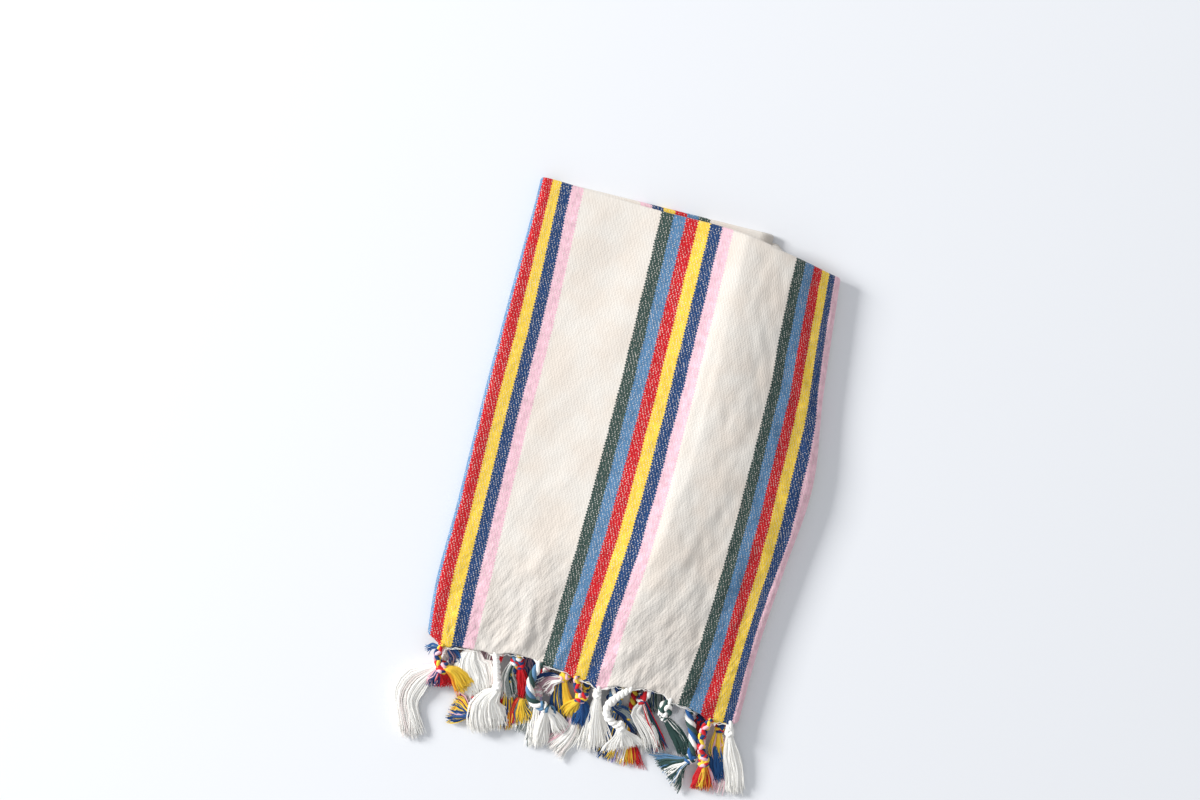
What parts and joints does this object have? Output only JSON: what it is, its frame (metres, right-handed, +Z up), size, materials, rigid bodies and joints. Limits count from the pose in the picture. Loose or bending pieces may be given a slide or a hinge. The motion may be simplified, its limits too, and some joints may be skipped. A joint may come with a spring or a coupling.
{
  "type": "folded hand towel",
  "caption": "Flat-woven cotton hand towel with a striped warp and knotted tassels at its ends, doubled end to end with both sides folded under, lying flat.",
  "frame": {"origin": "on the floor, under the middle of the bounding box of the whole towel with its tassels", "axes": "+Y along the stripes, from the tassels to the top fold; +Z up, out of the front; +X to the right as seen from above"},
  "size_m": [0.2302, 0.3696, 0.0226],
  "materials": {
    "woven_cotton": "matt plain weave",
    "cotton_yarn": "matt twisted yarn"
  },
  "bodies": {
    "root": {"towel_cloth": "woven_cotton", "tassel_top_1": "cotton_yarn", "tassel_top_2": "cotton_yarn", "tassel_top_3": "cotton_yarn", "tassel_top_4": "cotton_yarn", "tassel_top_5": "cotton_yarn", "tassel_top_6": "cotton_yarn", "tassel_top_7": "cotton_yarn", "tassel_top_8": "cotton_yarn", "tassel_top_9": "cotton_yarn", "tassel_second_1": "cotton_yarn", "tassel_second_2": "cotton_yarn", "tassel_second_3": "cotton_yarn", "tassel_second_4": "cotton_yarn", "tassel_second_5": "cotton_yarn", "tassel_second_6": "cotton_yarn", "tassel_second_7": "cotton_yarn", "tassel_second_8": "cotton_yarn", "tassel_third_1": "cotton_yarn", "tassel_third_2": "cotton_yarn", "tassel_third_3": "cotton_yarn", "tassel_third_4": "cotton_yarn", "tassel_third_5": "cotton_yarn", "tassel_third_6": "cotton_yarn", "tassel_floor_1": "cotton_yarn", "tassel_floor_2": "cotton_yarn", "tassel_floor_3": "cotton_yarn", "tassel_floor_4": "cotton_yarn", "tassel_floor_5": "cotton_yarn", "tassel_floor_6": "cotton_yarn"}
  },
  "joints": []
}
